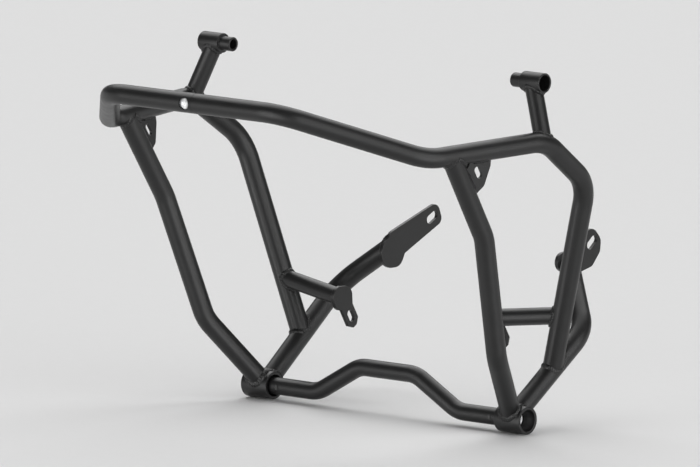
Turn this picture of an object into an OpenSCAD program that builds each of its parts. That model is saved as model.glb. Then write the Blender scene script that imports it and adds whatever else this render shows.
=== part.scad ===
// Front crash bars of a motorcycle, painted steel.
// Two welded tube halves meet on a bolted insert in the front crossbar,
// and a tie bar under the engine holds their lower bosses together.
// X runs across the machine, Y towards its rear and Z up.
// The origin is on the axis of the lower bosses, midway between them.

/* [Tubes] */
// Outside diameter of the rails, front tubes and lower arms
main_d = 25.4; // [24:0.1:27]
// Wall of the rails, front tubes and lower arms
main_wall = 2; // [1.5:0.1:2.6]
// Radius of the bends in those tubes, at the middle line
main_bend = 60; // [50:1:66]
// Outside diameter of the posts
post_d = 22; // [19:0.5:23]
// Outside diameter of the branch tubes
branch_d = 22; // [19:0.5:23]
// Outside diameter of the tie bar
tie_d = 22; // [20:0.5:24]
// Radius of the bends in the tie bar, at the middle line
tie_bend = 45; // [38:1:52]
// Wall of the posts, branch tubes and tie bar
small_wall = 2; // [1.5:0.1:2.2]
// Gap left at each coped or butted end for the weld
weld_gap = 0.2; // [0.05:0.05:0.4]

/* [Upper rails] */
// Width of the crossbar between its corner bends
crossbar_width = 282; // [260:1:300]
// Distance of the crossbar ahead of the lower bosses
crossbar_ahead = 359; // [335:1:385]
// Height of the crossbar above the lower bosses
crossbar_up = 415; // [400:1:430]
// Sideways place of the seam between the two halves
seam_x = 3; // [0:0.5:5]
// Width across the shoulder bends
shoulder_width = 532; // [515:1:550]
// Distance of the shoulder bends ahead of the lower bosses
shoulder_ahead = 225; // [210:1:240]
// Height of the shoulder bends
shoulder_up = 356; // [345:1:365]
// Width across the hip bends, the widest place
hip_width = 592; // [580:1:610]
// Distance of the hip bends ahead of the lower bosses
hip_ahead = 40; // [30:1:50]
// Height of the hip bends
hip_up = 362; // [352:1:370]
// Width across the knee bends
knee_width = 574; // [562:1:586]
// Distance of the knee bends behind the lower bosses
knee_behind = 48; // [42:1:56]
// Height of the knee bends
knee_up = 299; // [290:1:306]
// Distance of a rail's foot from the boss axis, along the lower arm
rail_foot_reach = 90; // [84:1:98]

/* [Front tubes] */
// Distance of the front tube's top behind the shoulder bend, along the rail
front_top = 36.5; // [35:0.5:50]
// Width across the upper bends of the front tubes
front_upper_width = 534; // [524:1:544]
// Distance of the upper bends ahead of the lower bosses
front_upper_ahead = 121; // [112:1:130]
// Height of the upper bends
front_upper_up = 247; // [235:1:260]
// Width across the lower bends of the front tubes
front_lower_width = 488; // [478:1:498]
// Distance of the lower bends ahead of the lower bosses
front_lower_ahead = 71; // [64:1:78]
// Height of the lower bends
front_lower_up = 88; // [80:1:96]

/* [Lower arms] */
// Distance of an arm's lower end, on the boss axis, from the boss's outer end
arm_foot_inset = 26; // [24:0.5:29]
// Width across the bends of the lower arms
arm_bend_width = 424; // [416:1:432]
// Distance of the left arm's bend behind the lower bosses
left_arm_behind = 141; // [135:1:147]
// Height of the left arm's bend
left_arm_up = 109; // [104:1:114]
// Distance of the right arm's bend behind the lower bosses
right_arm_behind = 129; // [123:1:135]
// Height of the right arm's bend
right_arm_up = 96; // [91:1:101]

/* [Rear plates] */
// Width between the middles of the rear plates' thickness
rear_plate_width = 268; // [260:1:276]
// Thickness of the rear plates and side plates
plate_t = 5; // [4:0.5:6]
// Distance of the rear slots behind the lower bosses
rear_slot_behind = 231.5; // [226:0.5:237]
// Height of the left rear slot
left_slot_up = 194; // [190:1:198]
// Height of the right rear slot
right_slot_up = 189; // [185:1:193]
// Slope of the left rear slot above the horizontal
left_slot_slope = 27; // [18:1:34]
// Slope of the right rear slot above the horizontal
right_slot_slope = 39; // [30:1:48]
// Width of the rear slots
rear_slot_w = 11; // [8:0.5:12]
// End to end length of the rear slots
rear_slot_len = 21; // [16:0.5:22]
// Distance from the left slot ahead to the middle of the arm's end
left_pad_ahead = 77.5; // [73:0.5:82]
// Distance from the left slot down to the middle of the arm's end
left_pad_below = 30; // [27:0.5:33]
// Distance from the right slot ahead to the middle of the arm's end
right_pad_ahead = 41.5; // [38:0.5:45]
// Distance from the right slot down to the middle of the arm's end
right_pad_below = 19; // [16:0.5:22]

/* [Branches] */
// Distance of a branch above the rail's foot, along the rail
branch_up = 75; // [66:1:84]
// Width between the middles of the side plates' thickness
side_plate_width = 254; // [246:1:262]
// Distance of a branch's inner end behind the lower bosses
branch_end_behind = 52; // [46:1:58]
// Height of a branch's inner end
branch_end_up = 113; // [107:1:119]
// Width of the side plate's tab
side_tab_w = 21; // [19:0.5:24]
// Reach of the tab from the middle of the branch
side_tab_reach = 47; // [45:0.5:52]
// Slope of the tab below the horizontal
side_tab_slope = 60; // [50:1:70]
// Width of the side slots
side_slot_w = 9; // [7:0.5:10]
// End to end length of the side slots
side_slot_len = 16.5; // [13:0.5:18]
// Distance of the side slot's middle from the middle of the branch
side_slot_reach = 31; // [29:0.5:33]

/* [Gussets] */
// Thickness of the gusset plates
gusset_t = 4; // [3:0.5:6]
// Length of a gusset along the rail, from the front tube's axis
gusset_along_rail = 64; // [58:0.5:68]
// Length of a gusset along the front tube, from the rail's axis
gusset_along_tube = 65; // [60:0.5:70]
// Radius of the corner notch, from where the two axes meet
gusset_notch = 33; // [28:0.5:35]
// Width of the pill-shaped window in a gusset
window_w = 8; // [5:0.5:9]
// End to end length of that window
window_len = 17; // [12:0.5:18]
// Distance of the window's middle from where the two axes meet
window_reach = 52; // [50:0.5:54]

/* [Upper mounts] */
// Width between the outer ends of the post bosses
upper_boss_width = 570; // [562:1:578]
// Diameter of the post bosses
upper_boss_d = 25; // [24:0.5:28]
// Length of a post boss without its spigot
upper_boss_len = 33; // [30:1:36]
// Distance of the post bosses ahead of the lower bosses
upper_boss_ahead = 28; // [22:1:34]
// Height of the post bosses
upper_boss_up = 432; // [424:1:442]
// Distance of the post's middle from the boss's outer end
post_inset = 20; // [18:0.5:21]
// Diameter of the spigots
spigot_d = 18; // [16:0.5:20]
// Length of the spigots
spigot_len = 17; // [12:1:22]
// Diameter of the bolt bores
upper_bore_d = 12.5; // [10.5:0.5:13]
// Diameter of the recess for a bolt head
upper_recess_d = 20; // [18:0.5:21]
// Depth of that recess
upper_recess_depth = 18; // [12:1:22]

/* [Lower bosses] */
// Width between the outer ends of the lower bosses
lower_boss_width = 466; // [462:1:472]
// Diameter of the lower bosses
lower_boss_d = 35; // [33:0.5:38]
// Length of the lower bosses
lower_boss_len = 42; // [40:1:46]
// Diameter of the recesses at both ends
lower_recess_d = 27; // [26:0.5:28]
// Depth of the outer recess
outer_recess_depth = 22; // [18:1:24]
// Depth of the inner recess, which takes the tie bar's end
inner_recess_depth = 12; // [8:1:13]
// Diameter of the hole through the web between the recesses
web_hole_d = 13; // [12.5:0.1:14]

/* [Tie bar] */
// Width between the tie bar's outer bends
tie_outer_width = 234; // [224:1:244]
// Width between its inner bends
tie_inner_width = 94; // [84:1:104]
// Rise of its middle stretch above the boss axis
tie_rise = 39; // [34:1:44]
// Length of the threaded plug in each end
plug_len = 32; // [29:1:38]
// Radial clearance of each plug in the tie bar
plug_gap = 0.1; // [0.05:0.05:0.25]
// Diameter of the plug weld holes
plug_weld_d = 7; // [5:0.5:8]
// Distance of a plug weld from the boss's inner end
plug_weld_inset = 12.5; // [10:0.5:14]

/* [Fasteners] */
// Thread diameter of the tie bolts
tie_bolt_d = 12; // [10:0.5:12]
// Length of a tie bolt under its head
tie_bolt_len = 30; // [26:1:34]
// Diameter of a tie bolt's head
tie_head_d = 21; // [18:0.5:22]
// Height of a tie bolt's head
tie_head_h = 6.6; // [5:0.2:7]
// Key size of a tie bolt, between the hexagon's corners
tie_key_d = 9; // [7:0.5:10]
// Diameter of the tie washers
tie_washer_d = 24; // [22:0.5:25]
// Thickness of the tie washers
tie_washer_t = 2.5; // [1.6:0.1:3]
// Length of the insert inside the crossbar
insert_len = 90; // [80:1:110]
// Radial clearance of the insert in the crossbar
insert_gap = 0.15; // [0.05:0.05:0.3]
// Distance of the joint bolt from the seam
joint_bolt_inset = 11; // [10.5:0.5:20]
// Thread diameter of the joint bolt
joint_bolt_d = 8; // [6:0.5:8]
// Length of the joint bolt under its head
joint_bolt_len = 16; // [12:0.5:17]
// Diameter of the joint bolt's head
joint_head_d = 14; // [12:0.5:14.5]
// Height of the joint bolt's head
joint_head_h = 4.4; // [3.4:0.2:5]
// Key size of the joint bolt, between the hexagon's corners
joint_key_d = 5.8; // [4.6:0.2:6.6]
// Depth of the head's seat in the insert
joint_seat_depth = 1.8; // [1:0.1:2.6]
// Radial clearance round the joint bolt's head
joint_head_gap = 0.9; // [0.5:0.1:1.2]
// Radial clearance between a thread and its hole
thread_gap = 0.05; // [0.02:0.01:0.1]

/* [Hidden] */

$fn = 64;
// Extra length that carries a cut clear of the face it starts from
past = 1;
// Extra radius that bending leaves in a bend
bend_swell = 0.15;
// Length by which a straight runs on into a bend
bend_lap = 0.8;
// Depth by which an outline's straight sides lie inside its circles
side_dip = 0.005;
// Share of a screw head's height that its key socket is deep
key_share = 0.55;
paint = [0.16, 0.16, 0.165];
bare_steel = [0.62, 0.62, 0.64];
zinc = [0.78, 0.79, 0.8];
black_oxide = [0.1, 0.1, 0.11];

main_r = main_d / 2;
lower_boss_r = lower_boss_d / 2;
upper_boss_r = upper_boss_d / 2;
plate_half = plate_t / 2;

// Bend points of the right half. The left half uses the same ones mirrored.
corner = [crossbar_width / 2, -crossbar_ahead, crossbar_up];
shoulder = [shoulder_width / 2, -shoulder_ahead, shoulder_up];
hip = [hip_width / 2, -hip_ahead, hip_up];
knee = [knee_width / 2, knee_behind, knee_up];
front_upper = [front_upper_width / 2, -front_upper_ahead, front_upper_up];
front_lower = [front_lower_width / 2, -front_lower_ahead, front_lower_up];
arm_foot = [lower_boss_width / 2 - arm_foot_inset, 0, 0];
left_arm_bend = [arm_bend_width / 2, left_arm_behind, left_arm_up];
right_arm_bend = [arm_bend_width / 2, right_arm_behind, right_arm_up];
left_slot = [rear_plate_width / 2, rear_slot_behind, left_slot_up];
right_slot = [rear_plate_width / 2, rear_slot_behind, right_slot_up];
left_pad = left_slot - [0, left_pad_ahead, left_pad_below];
right_pad = right_slot - [0, right_pad_ahead, right_pad_below];
front_head = along(shoulder, hip, front_top);
left_foot = along(arm_foot, left_arm_bend, rail_foot_reach);
right_foot = along(arm_foot, right_arm_bend, rail_foot_reach);
branch_end = [side_plate_width / 2, branch_end_behind, branch_end_up];
upper_boss_outer = [upper_boss_width / 2, -upper_boss_ahead, upper_boss_up];
post_top = upper_boss_outer - [post_inset, 0, 0];
post_base = bend_middle(shoulder, hip, knee, main_bend);
lower_boss_inner_x = lower_boss_width / 2 - lower_boss_len;
web_outer_x = lower_boss_width / 2 - outer_recess_depth;
web_inner_x = lower_boss_inner_x + inner_recess_depth;
tie_end_x = web_inner_x - weld_gap;
tie_head_x = web_outer_x + tie_washer_t;
insert_r = main_r - main_wall - insert_gap;
joint_seat = insert_r - joint_seat_depth;

// Rear plates' outline circles [rearwards, up, radius], from the slot's middle
left_end = [-left_pad_ahead, -left_pad_below];
left_strip = [
    [3.8, 5, 11], concat(left_end + [9.3, 6], 16),
    concat(left_end + [22.3, -0.5], 10), [8.7, -2.2, 9]
];
left_round = [
    concat(left_end + [10.5, 5.5], 15), concat(left_end + [1.3, -6.5], 19.5),
    concat(left_end + [8.3, -11], 15), concat(left_end + [20.5, -1], 9)
];
right_end = [-right_pad_ahead, -right_pad_below];
right_tip = [
    [-1.5, 4, 13], concat(right_end + [14, 3], 14), concat(right_end + [20, -6], 10),
    [-5, -21.3, 10], [6, -9.5, 9.5], [2.5, -2, 14]
];
right_neck = [
    concat(right_end + [11.5, 2], 12), concat(right_end - [12.5, 0], 12),
    concat(right_end + [17.5, -6], 8)
];
// Side plate's outline circles, from the middle of the branch
side_head = [[7.5, 0.5, 13], [-2, 1, 13], [-1.5, -5.5, 11], [14, -8, 7]];
side_tab_shift = 2.7;
// Gusset's outline circles [along the rail, down, radius]
gusset_corner_r = 5;
gusset_taper = 15;
gusset_upper_round = [gusset_along_rail - gusset_corner_r, 19, gusset_corner_r];
gusset_lower_round = [gusset_along_rail - gusset_taper, 40, 8];

// Unit vector along v
function unit(v) = v / norm(v);

// Point at distance s from a towards b
function along(a, b, s) = a + s * unit(b - a);

// Angle through which the path p turns at its point i
function turn_at(p, i) = acos(unit(p[i] - p[i - 1]) * unit(p[i + 1] - p[i]));

// Length that the bend at point i takes from the straight on each side
function trim_at(p, i, bend) =
    (i == 0 || i == len(p) - 1) ? 0 : bend * tan(turn_at(p, i) / 2) - bend_lap;

// Point halfway round the bend at b of the path a, b, c
function bend_middle(a, b, c, bend) =
    b + unit(unit(c - b) - unit(b - a))
        * bend * (1 / cos(turn_at([a, b, c], 1) / 2) - 1);

// Round bar from a to b
module rod(a, b, r) {
    v = b - a;
    translate(a)
        rotate([0, acos(v.z / norm(v)), atan2(v.y, v.x)])
            cylinder(h = norm(v), r = r);
}

// Bent part of a bar of radius r round the corner b of the path a, b, c
module elbow(a, b, c, r, bend) {
    turn = turn_at([a, b, c], 1);
    start = unit(b - a);
    middle = b + unit(unit(c - b) - start) * bend / cos(turn / 2);
    out = (b - start * bend * tan(turn / 2) - middle) / bend;
    up = cross(start, unit(c - b)) / sin(turn);
    multmatrix([
        [out.x, start.x, up.x, middle.x],
        [out.y, start.y, up.y, middle.y],
        [out.z, start.z, up.z, middle.z],
        [0, 0, 0, 1]
    ])
        rotate_extrude(angle = turn)
            translate([bend, 0])
                circle(r = r + bend_swell);
}

// Solid bar of radius r along the path p, with every corner bent
module bar(p, r, bend) {
    for (i = [0 : len(p) - 2])
        rod(
            along(p[i], p[i + 1], trim_at(p, i, bend)),
            along(p[i + 1], p[i], trim_at(p, i + 1, bend)),
            r
        );
    for (i = [1 : len(p) - 2])
        elbow(p[i - 1], p[i], p[i + 1], r, bend);
}

// Tube of diameter d along the path p, open at both ends
module tube(p, d, wall, bend) {
    last = len(p) - 1;
    lumen = [
        for (i = [0 : last])
            i == 0 ? along(p[0], p[1], -past)
            : i == last ? along(p[last], p[last - 1], -past)
            : p[i]
    ];
    difference() {
        bar(p, d / 2, bend);
        bar(lumen, d / 2 - wall, bend);
    }
}

// Flat outline round a ring of circles [x, y, radius], given counterclockwise
module round_outline(rings) {
    count = len(rings);
    polygon([
        for (i = [0 : count - 1])
            let (
                a = rings[i],
                b = rings[(i + 1) % count],
                dx = b[0] - a[0],
                dy = b[1] - a[1],
                side = atan2(dy, dx) - acos((a[2] - b[2]) / norm([dx, dy])),
                out = [cos(side), sin(side)]
            )
            each [
                [a[0], a[1]] + (a[2] - side_dip) * out,
                [b[0], b[1]] + (b[2] - side_dip) * out
            ]
    ]);
    for (ring = rings)
        translate([ring[0], ring[1]])
            circle(r = ring[2]);
}

// Flat pill of the given width and end to end length along X
module pill(w, len) {
    reach = (len - w) / 2;
    round_outline([[-reach, 0, w / 2], [reach, 0, w / 2]]);
}

// Plate drawn in the side view, centred on p: its X is rearwards, its Y is up
module side_view_plate(p, t) {
    translate(p)
        rotate([90, 0, 90])
            translate([0, 0, -t / 2])
                linear_extrude(t)
                    children();
}

// Everything on the inner side of a side-view plate's outer face
module inboard_of(p) {
    reach = 80;
    translate([p.x + plate_half + weld_gap - reach, p.y - reach, p.z - reach])
        cube([reach, 2 * reach, 2 * reach]);
}

// Mirrors a right-hand piece to the left
module to_left() {
    mirror([1, 0, 0])
        children();
}

// Outer form of a rail between its shoulder and knee, grown by the weld gap
module rail_form() {
    bar([corner, shoulder, hip, knee], main_r + weld_gap, main_bend);
}

// Outer form of a front tube, grown by the weld gap
module front_tube_form() {
    bar([front_head, front_upper, front_lower, arm_foot], main_r + weld_gap, main_bend);
}

// Outer form of a lower boss, grown by the weld gap
module lower_boss_form() {
    rod(
        [lower_boss_inner_x - past, 0, 0],
        [lower_boss_width / 2 + past, 0, 0],
        lower_boss_r + weld_gap
    );
}

// Rail from the centre seam round to its foot on the lower arm
module rail(seam, foot, arm_bend) {
    difference() {
        tube(
            [[seam, corner.y, corner.z], corner, shoulder, hip, knee, foot],
            main_d, main_wall, main_bend
        );
        rod(arm_foot, arm_bend, main_r + weld_gap);
    }
}

module right_upper_rail() {
    color(paint)
        rail(seam_x + weld_gap, right_foot, right_arm_bend);
}

module left_upper_rail() {
    color(paint)
        difference() {
            to_left()
                rail(weld_gap - seam_x, left_foot, left_arm_bend);
            joint_head_hole();
        }
}

// Tube from the rail behind the shoulder down to the lower boss
module front_tube() {
    difference() {
        tube([front_head, front_upper, front_lower, arm_foot], main_d, main_wall, main_bend);
        rail_form();
        lower_boss_form();
    }
}

module right_front_tube() {
    color(paint)
        front_tube();
}

module left_front_tube() {
    color(paint)
        to_left()
            front_tube();
}

// Arm from the lower boss back and inwards to the pad of a rear plate
module lower_arm(arm_bend, pad) {
    difference() {
        tube(
            [arm_foot, arm_bend, along(pad, arm_bend, -main_d)],
            main_d, main_wall, main_bend
        );
        lower_boss_form();
        front_tube_form();
        inboard_of(pad);
    }
}

module right_lower_arm() {
    color(paint)
        lower_arm(right_arm_bend, right_pad);
}

module left_lower_arm() {
    color(paint)
        to_left()
            lower_arm(left_arm_bend, left_pad);
}

// Branch from the rail's rear leg inwards to the side plate
module branch_tube(foot) {
    root = along(foot, knee, branch_up);
    difference() {
        tube(
            [root, along(branch_end, root, -branch_d)],
            branch_d, small_wall, main_bend
        );
        rod(foot, knee, main_r + weld_gap);
        inboard_of(branch_end);
    }
}

module right_branch_tube() {
    color(paint)
        branch_tube(right_foot);
}

module left_branch_tube() {
    color(paint)
        to_left()
            branch_tube(left_foot);
}

// Post from the hip bend up to the post boss
module post() {
    difference() {
        tube([post_base, post_top], post_d, small_wall, main_bend);
        rail_form();
        rod(
            upper_boss_outer + [past, 0, 0],
            upper_boss_outer - [upper_boss_len + past, 0, 0],
            upper_boss_r + weld_gap
        );
    }
}

module right_post() {
    color(paint)
        post();
}

module left_post() {
    color(paint)
        to_left()
            post();
}

// Turned boss with a spigot on its inner end and a recess for a bolt head
module post_boss() {
    step = upper_boss_outer - [upper_boss_len, 0, 0];
    tip = step - [spigot_len, 0, 0];
    difference() {
        union() {
            rod(step, upper_boss_outer, upper_boss_r);
            rod(tip, step, spigot_d / 2);
        }
        rod(
            tip - [past, 0, 0],
            upper_boss_outer,
            upper_bore_d / 2
        );
        rod(
            upper_boss_outer - [upper_recess_depth, 0, 0],
            upper_boss_outer + [past, 0, 0],
            upper_recess_d / 2
        );
    }
}

module right_post_boss() {
    color(paint)
        post_boss();
}

module left_post_boss() {
    color(paint)
        to_left()
            post_boss();
}

// Turned boss with a recess at both ends and a web between them
module lower_boss() {
    difference() {
        rod([lower_boss_inner_x, 0, 0], [lower_boss_width / 2, 0, 0], lower_boss_r);
        rod([web_outer_x, 0, 0], [lower_boss_width / 2 + past, 0, 0], lower_recess_d / 2);
        rod([lower_boss_inner_x - past, 0, 0], [web_inner_x, 0, 0], lower_recess_d / 2);
        rod([lower_boss_inner_x, 0, 0], [lower_boss_width / 2, 0, 0], web_hole_d / 2);
    }
}

module right_lower_boss() {
    color(paint)
        lower_boss();
}

module left_lower_boss() {
    color(paint)
        to_left()
            lower_boss();
}

// Slot of a rear plate, rising towards the rear
module rear_slot_outline(slope) {
    rotate(slope)
        pill(rear_slot_w, rear_slot_len);
}

// Left rear plate: a long tapered strip on a round pad
module left_rear_plate() {
    color(paint)
        to_left()
            side_view_plate(left_slot, plate_t)
                difference() {
                    union() {
                        round_outline(left_strip);
                        round_outline(left_round);
                    }
                    rear_slot_outline(left_slot_slope);
                }
}

// Right rear plate: short and broad, with a rounded neck under the arm's end
module right_rear_plate() {
    color(paint)
        side_view_plate(right_slot, plate_t)
            difference() {
                union() {
                    round_outline(right_tip);
                    round_outline(right_neck);
                }
                rear_slot_outline(right_slot_slope);
            }
}

// Side plate: round head on the branch, slotted tab down and rearwards
module side_plate() {
    corner_cut = 7;
    side_view_plate(branch_end, plate_t)
        difference() {
            union() {
                round_outline(side_head);
                rotate(-side_tab_slope)
                    translate([0, side_tab_shift])
                        polygon([
                            [0, -side_tab_w / 2],
                            [side_tab_reach - corner_cut, -side_tab_w / 2],
                            [side_tab_reach, corner_cut - side_tab_w / 2],
                            [side_tab_reach, side_tab_w / 2 - corner_cut],
                            [side_tab_reach - corner_cut, side_tab_w / 2],
                            [0, side_tab_w / 2]
                        ]);
            }
            rotate(-side_tab_slope)
                translate([side_slot_reach, side_tab_shift])
                    pill(side_slot_w, side_slot_len);
        }
}

module right_side_plate() {
    color(paint)
        side_plate();
}

module left_side_plate() {
    color(paint)
        to_left()
            side_plate();
}

// Gusset in the corner between the rail and the front tube
// Its X follows the rail, and its Y points down along the front tube
module gusset() {
    rail_dir = unit(hip - shoulder);
    tube_dir = unit(front_upper - front_head);
    flat = unit(cross(rail_dir, tube_dir));
    down = cross(flat, rail_dir);
    lean = acos(rail_dir * tube_dir);
    difference() {
        multmatrix([
            [rail_dir.x, down.x, flat.x, front_head.x],
            [rail_dir.y, down.y, flat.y, front_head.y],
            [rail_dir.z, down.z, flat.z, front_head.z],
            [0, 0, 0, 1]
        ])
            translate([0, 0, -gusset_t / 2])
                linear_extrude(gusset_t)
                    difference() {
                        round_outline([
                            [gusset_corner_r, gusset_corner_r, gusset_corner_r],
                            [gusset_along_rail - gusset_corner_r, gusset_corner_r, gusset_corner_r],
                            gusset_upper_round,
                            gusset_lower_round,
                            [
                                gusset_along_tube * cos(lean),
                                gusset_along_tube * sin(lean),
                                gusset_corner_r
                            ]
                        ]);
                        circle(r = gusset_notch);
                        translate(window_reach * [cos(lean / 2), sin(lean / 2)])
                            rotate(lean)
                                pill(window_w, window_len);
                    }
        rail_form();
        front_tube_form();
    }
}

module right_gusset() {
    color(paint)
        gusset();
}

module left_gusset() {
    color(paint)
        to_left()
            gusset();
}

// Tie bar under the engine, stepped up in its middle
module tie_bar() {
    outer = tie_outer_width / 2;
    inner = tie_inner_width / 2;
    weld_x = lower_boss_inner_x - plug_weld_inset;
    color(paint)
        difference() {
            tube(
                [
                    [-tie_end_x, 0, 0], [-outer, 0, 0], [-inner, 0, tie_rise],
                    [inner, 0, tie_rise], [outer, 0, 0], [tie_end_x, 0, 0]
                ],
                tie_d, small_wall, tie_bend
            );
            for (x = [-weld_x, weld_x])
                rod([x, 0, 0], [x, -tie_d, 0], plug_weld_d / 2);
        }
}

// Threaded plug in an end of the tie bar
module tie_plug() {
    difference() {
        rod(
            [tie_end_x - plug_len, 0, 0],
            [tie_end_x, 0, 0],
            tie_d / 2 - small_wall - plug_gap
        );
        rod(
            [tie_head_x - tie_bolt_len - past, 0, 0],
            [tie_end_x + past, 0, 0],
            tie_bolt_d / 2 + thread_gap
        );
    }
}

module right_tie_plug() {
    color(bare_steel)
        tie_plug();
}

module left_tie_plug() {
    color(bare_steel)
        to_left()
            tie_plug();
}

// Domed cap screw along +X, with the seat of its head at the origin
module button_screw(d, len, head_d, head_h, key_d) {
    dome_r = (head_h * head_h + head_d * head_d / 4) / (2 * head_h);
    key_depth = head_h * key_share;
    rotate([0, 90, 0])
        difference() {
            rotate_extrude() {
                intersection() {
                    translate([0, head_h - dome_r])
                        circle(r = dome_r);
                    square([head_d, head_h]);
                }
                translate([0, -len])
                    square([d / 2, len + head_h * (1 - key_share) / 2]);
            }
            translate([0, 0, head_h - key_depth])
                cylinder(h = head_h, d = key_d, $fn = 6);
        }
}

module tie_bolts() {
    color(black_oxide)
        for (side = [0, 1])
            mirror([side, 0, 0])
                translate([tie_head_x, 0, 0])
                    button_screw(tie_bolt_d, tie_bolt_len, tie_head_d, tie_head_h, tie_key_d);
}

module tie_washers() {
    color(zinc)
        for (side = [0, 1])
            mirror([side, 0, 0])
                difference() {
                    rod([web_outer_x, 0, 0], [tie_head_x, 0, 0], tie_washer_d / 2);
                    rod([web_outer_x - past, 0, 0], [tie_head_x + past, 0, 0], web_hole_d / 2);
                }
}

// Places its children on the joint bolt's axis, with X pointing to the front
module on_joint_axis() {
    translate([seam_x - joint_bolt_inset, corner.y, corner.z])
        rotate([0, 0, -90])
            children();
}

// Hole in the left half that lets the joint bolt's head down to the insert
module joint_head_hole() {
    on_joint_axis()
        rod([0, 0, 0], [main_d, 0, 0], joint_head_d / 2 + joint_head_gap);
}

// Solid insert across the seam, tapped for the joint bolt
module joint_insert() {
    color(bare_steel)
        difference() {
            rod(
                [seam_x - insert_len / 2, corner.y, corner.z],
                [seam_x + insert_len / 2, corner.y, corner.z],
                insert_r
            );
            on_joint_axis() {
                rod([joint_seat, 0, 0], [main_d, 0, 0], joint_head_d / 2 + joint_head_gap);
                rod(
                    [joint_seat - joint_bolt_len - past, 0, 0],
                    [main_d, 0, 0],
                    joint_bolt_d / 2 + thread_gap
                );
            }
        }
}

module joint_bolt() {
    color(zinc)
        on_joint_axis()
            translate([joint_seat, 0, 0])
                button_screw(
                    joint_bolt_d, joint_bolt_len, joint_head_d, joint_head_h, joint_key_d
                );
}

left_upper_rail();
right_upper_rail();
left_front_tube();
right_front_tube();
left_lower_arm();
right_lower_arm();
left_branch_tube();
right_branch_tube();
left_post();
right_post();
left_post_boss();
right_post_boss();
left_lower_boss();
right_lower_boss();
left_rear_plate();
right_rear_plate();
left_side_plate();
right_side_plate();
left_gusset();
right_gusset();
tie_bar();
left_tie_plug();
right_tie_plug();
tie_bolts();
tie_washers();
joint_insert();
joint_bolt();
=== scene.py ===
"""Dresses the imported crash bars: coated skins, weld beads, plated hardware, plain studio."""

import logging
import math
from dataclasses import dataclass, field
from enum import Enum
from functools import reduce
from typing import Any, Protocol

import bmesh
import bpy
import numpy as np
from mathutils import Matrix, Vector


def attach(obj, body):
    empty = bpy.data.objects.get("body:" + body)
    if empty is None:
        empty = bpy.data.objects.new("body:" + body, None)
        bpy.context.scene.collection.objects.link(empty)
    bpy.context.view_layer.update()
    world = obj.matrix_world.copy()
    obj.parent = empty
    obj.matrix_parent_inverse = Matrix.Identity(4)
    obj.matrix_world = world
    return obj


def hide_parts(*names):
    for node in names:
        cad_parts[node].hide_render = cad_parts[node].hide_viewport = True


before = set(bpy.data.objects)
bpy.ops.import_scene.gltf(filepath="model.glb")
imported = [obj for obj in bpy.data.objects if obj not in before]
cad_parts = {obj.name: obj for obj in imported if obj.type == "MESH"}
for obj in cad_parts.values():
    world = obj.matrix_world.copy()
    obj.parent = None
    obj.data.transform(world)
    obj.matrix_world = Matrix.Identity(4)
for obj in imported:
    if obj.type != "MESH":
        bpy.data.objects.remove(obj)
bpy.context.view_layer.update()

LOG = logging.getLogger("crash_bars")
MM = 0.001
AROUND = 96
SHARP_DEG = 40.0
SLIDES = 90
STEPS_PER_SCALE = 10


class Side(Enum):
    """Side of the machine; the value is the sign of X there."""

    LEFT = -1
    RIGHT = 1

    @property
    def word(self) -> str:
        """Side's name as used in the names of nodes."""
        return self.name.lower()


class Slot(Enum):
    """Material slots of the record that pieces take their finish from."""

    PAINTED = "painted"
    STEEL = "bare_steel"
    ZINC = "zinc"


class Shade:
    """A shader socket in an expression: each operator adds the Math node that works it out."""

    def __init__(self, board: "NodeBoard", socket: bpy.types.NodeSocket) -> None:
        """Keeps the socket and the board that it belongs to."""
        self.board = board
        self.socket = socket

    def _maths(self, operation: str, *values: Any) -> "Shade":
        """Adds one Math node and returns its result."""
        node = self.board.node("ShaderNodeMath", {"operation": operation}, dict(enumerate(values)))
        return Shade(self.board, node.outputs[0])

    def __add__(self, other: Any) -> "Shade":
        """Sum."""
        return self._maths("ADD", self, other)

    def __radd__(self, other: Any) -> "Shade":
        """Sum with the number first."""
        return self._maths("ADD", other, self)

    def __sub__(self, other: Any) -> "Shade":
        """Difference."""
        return self._maths("SUBTRACT", self, other)

    def __rsub__(self, other: Any) -> "Shade":
        """Difference with the number first."""
        return self._maths("SUBTRACT", other, self)

    def __mul__(self, other: Any) -> "Shade":
        """Product."""
        return self._maths("MULTIPLY", self, other)

    def __rmul__(self, other: Any) -> "Shade":
        """Product with the number first."""
        return self._maths("MULTIPLY", other, self)

    def __pow__(self, other: Any) -> "Shade":
        """Power."""
        return self._maths("POWER", self, other)

    def sine(self) -> "Shade":
        """Sine of the value."""
        return self._maths("SINE", self)

    def clipped(self) -> "Shade":
        """Value held between 0 and 1."""
        return self._maths("MINIMUM", self._maths("MAXIMUM", self, 0.0), 1.0)


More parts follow.
